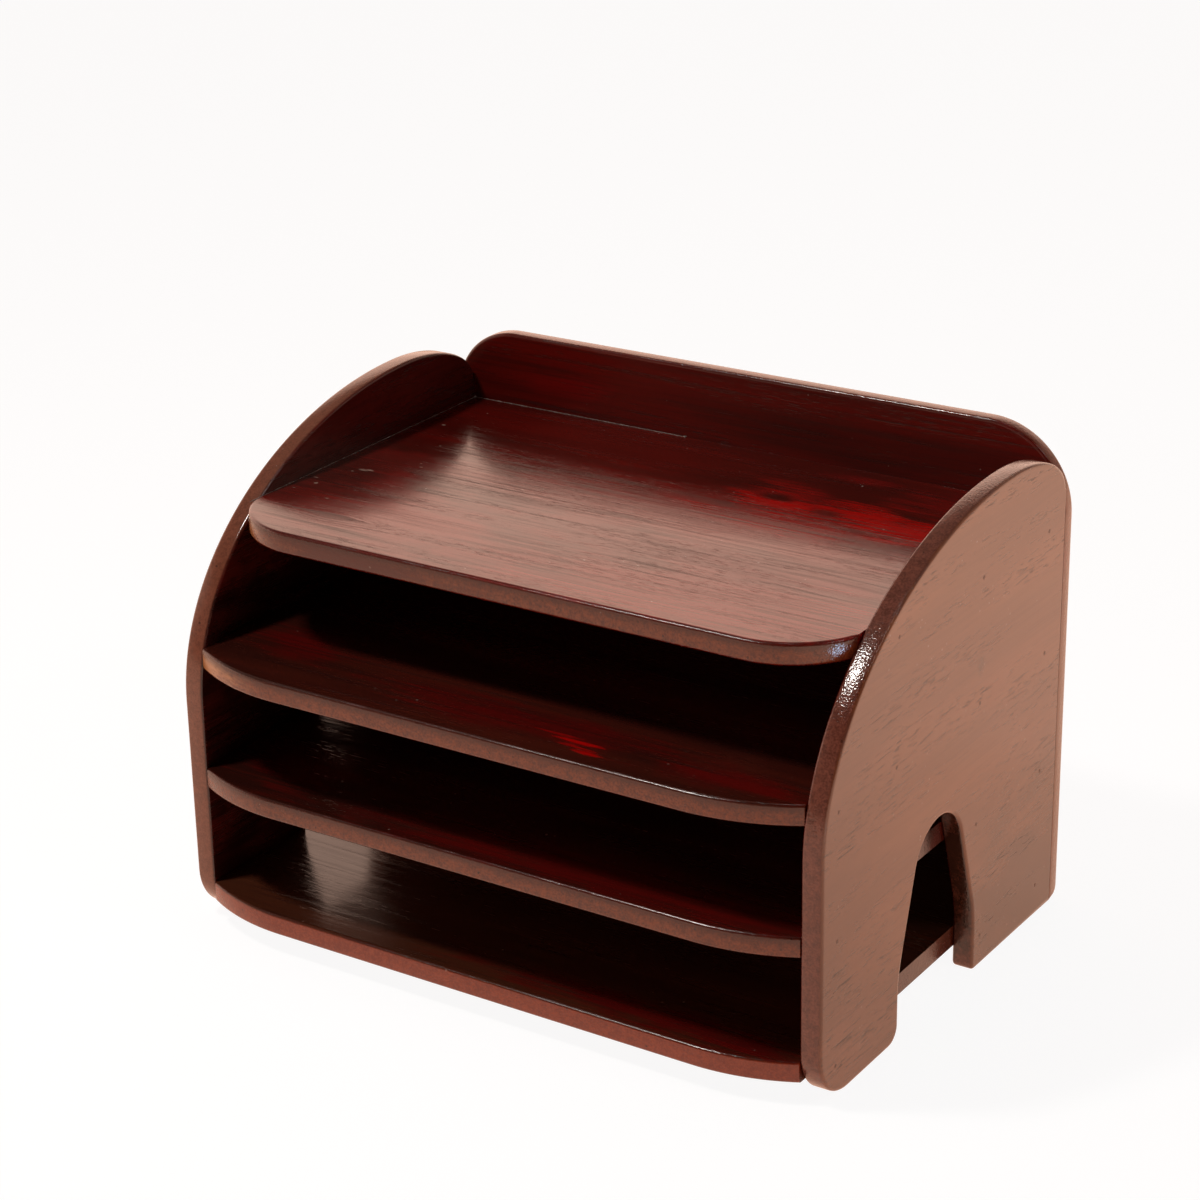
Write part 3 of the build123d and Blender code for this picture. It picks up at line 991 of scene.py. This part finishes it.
# Painted shade: the walls of the right side's arch made darker.
arch_wall_painted_shade = [((0.16, 0.01, 0.05), (0.03, 0.06, 0.07), paint(0.03, 0.012, 0.008))]
# On the right side's outer face: painted shade low at the front and rear, a painted lighter patch at the
# foot, and one small dark mark.
face_painted_shade_and_mark = [
    ((0.165, -0.1, 0.04), (0.05, 0.045, 0.12), paint(0.125, 0.043, 0.019)),
    ((0.165, -0.088, 0.01), (0.05, 0.04, 0.03), paint(0.17, 0.062, 0.032)),
    ((0.165, 0.09, 0.015), (0.05, 0.09, 0.06), paint(0.095, 0.034, 0.015)),
    ((0.165, 0.03, 0.148), (0.01, 0.004, 0.005), paint(0.08, 0.028, 0.014)),
]
outer_faces = (paint(0.13, 0.045, 0.019), paint(0.18, 0.065, 0.028))
tray_colours = shelf_colours | {"deep": paint(0.03, 0.0065, 0.004), "pale": paint(0.062, 0.01, 0.0055)}
bottom_colours = with_edges(tray_colours, paint(0.15, 0.02, 0.008), paint(0.24, 0.04, 0.014))
bottom_colours |= {"deep": paint(0.06, 0.017, 0.008), "pale": paint(0.085, 0.024, 0.011)}
back_colours = with_edges(shelf_colours, paint(0.09, 0.025, 0.016), paint(0.22, 0.066, 0.044))
# The sides' pale arris colour is a painted highlight along the arris.
side_colours = shelf_colours | {"rub and highlight": paint(0.1, 0.035, 0.024)}
side_colours |= {"deep": paint(0.06, 0.008, 0.006), "pale": paint(0.12, 0.013, 0.01)}
right_colours = with_edges(side_colours, paint(0.07, 0.02, 0.013), paint(0.17, 0.056, 0.037))
left_colours = with_edges(side_colours, paint(0.12, 0.042, 0.025), paint(0.2, 0.068, 0.04))
print("marks on the top shelf:", len(top_patches))

# %% [markdown]
# With the colours laid out, each board is one call. The middle of the tree lies off the board, each time
# somewhere else, so that no two boards show the same figure.

# %% Lacquer on the boards
woods = [
    (top_shelf, lacquered_wood(
        "top_shelf_lacquer", along_x, (0.0, -0.3, 0.15), shelf_colours, top_patches, top_ends,
        dusty=0.7, cup=20.0, top=top_face, knots=top_knots)),
    (upper_shelf, lacquered_wood(
        "upper_shelf_lacquer", along_x, (0.2, -0.32, 0.05), tray_colours, upper_patches, upper_ends,
        top=upper_face)),
    (lower_shelf, lacquered_wood(
        "lower_shelf_lacquer", along_x, (0.4, 0.33, -0.04), tray_colours, lower_patches, top=lower_face)),
    (bottom_shelf, lacquered_wood(
        "bottom_shelf_lacquer", along_x, (0.7, 0.35, -0.1), bottom_colours, bottom_patches)),
    (back, lacquered_wood(
        "back_lacquer", along_x, (0.1, 0.06, -0.1), back_colours, back_patches, back_ends)),
    (right_side, lacquered_wood(
        "right_side_lacquer", along_y, (0.06, 0.0, -0.2), right_colours, edge_patches=arch_wall_painted_shade,
        outer=(*outer_faces, face_painted_shade_and_mark), peel=0.13)),
    (left_side, lacquered_wood(
        "left_side_lacquer", along_y, (-0.06, 0.3, -0.2), left_colours, tray_wall_painted_shade,
        outer=(*outer_faces, ()), peel=0.06)),
]
for piece, material in woods:
    piece.data.materials.append(material)
print("lacquered boards:", len(woods))

# %% [markdown]
# The rest is small. Putty is a dull brown paste with sawdust in it, dried glue is grey and a little glassy,
# and the nails inside are bright drawn wire, a little uneven in its shine. None of them is one plain
# colour, so a small group gives all three their speckle, each with its own number of features a metre.

# %% Putty, glue and nail wire
speckle_height = 0.02
speckle, enter, leave = new_group("speckle", vector_in, ["Share", "Height"])
grains = noise(speckle, enter.outputs["Vector"], even(1.0), 3.0, 0.6)
share = remap(speckle, grains, 0.35, 0.65)
hand_out(speckle, leave, Share=share, Height=times(speckle, grains, speckle_height))


def plain_finish(name, first, second, features, roughness, metal=0.0):
    """A finish of two colours and two roughnesses, blended by speckle."""
    material = bpy.data.materials.new(name)
    material.use_nodes = True
    tree = material.node_tree
    place = put(tree, "ShaderNodeTexCoord").outputs["Object"]
    spots = use_group(tree, speckle, Vector=vectors(tree, "MULTIPLY", place, even(features)))
    shader = tree.nodes["Principled BSDF"]
    shader.inputs["Metallic"].default_value = metal
    tree.links.new(mix_colour(tree, spots["Share"], first, second), shader.inputs["Base Color"])
    tree.links.new(remap(tree, spots["Share"], 0.0, 1.0, *roughness), shader.inputs["Roughness"])
    bump = put(tree, "ShaderNodeBump", {"Distance": millimetre, "Height": spots["Height"]})
    tree.links.new(bump.outputs[0], shader.inputs["Normal"])
    return material


putty = plain_finish("putty", paint(0.05, 0.018, 0.01), paint(0.1, 0.035, 0.018), 1400.0, (0.35, 0.5))
glue = plain_finish("dried_glue", paint(0.1, 0.08, 0.07), paint(0.26, 0.22, 0.2), 500.0, (0.3, 0.5))
wire = plain_finish("nail_wire", paint(0.36, 0.35, 0.34), paint(0.6, 0.59, 0.58), 900.0, (0.25, 0.45), 1.0)
for piece in plugs:
    piece.data.materials.clear()
    piece.data.materials.append(putty)
for piece in beads:
    piece.data.materials.append(glue)
for name in ("side_nails_left", "side_nails_right", "back_nails"):
    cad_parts[name].data.materials.clear()
    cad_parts[name].data.materials.append(wire)
print("materials:", [material.name for material in bpy.data.materials])
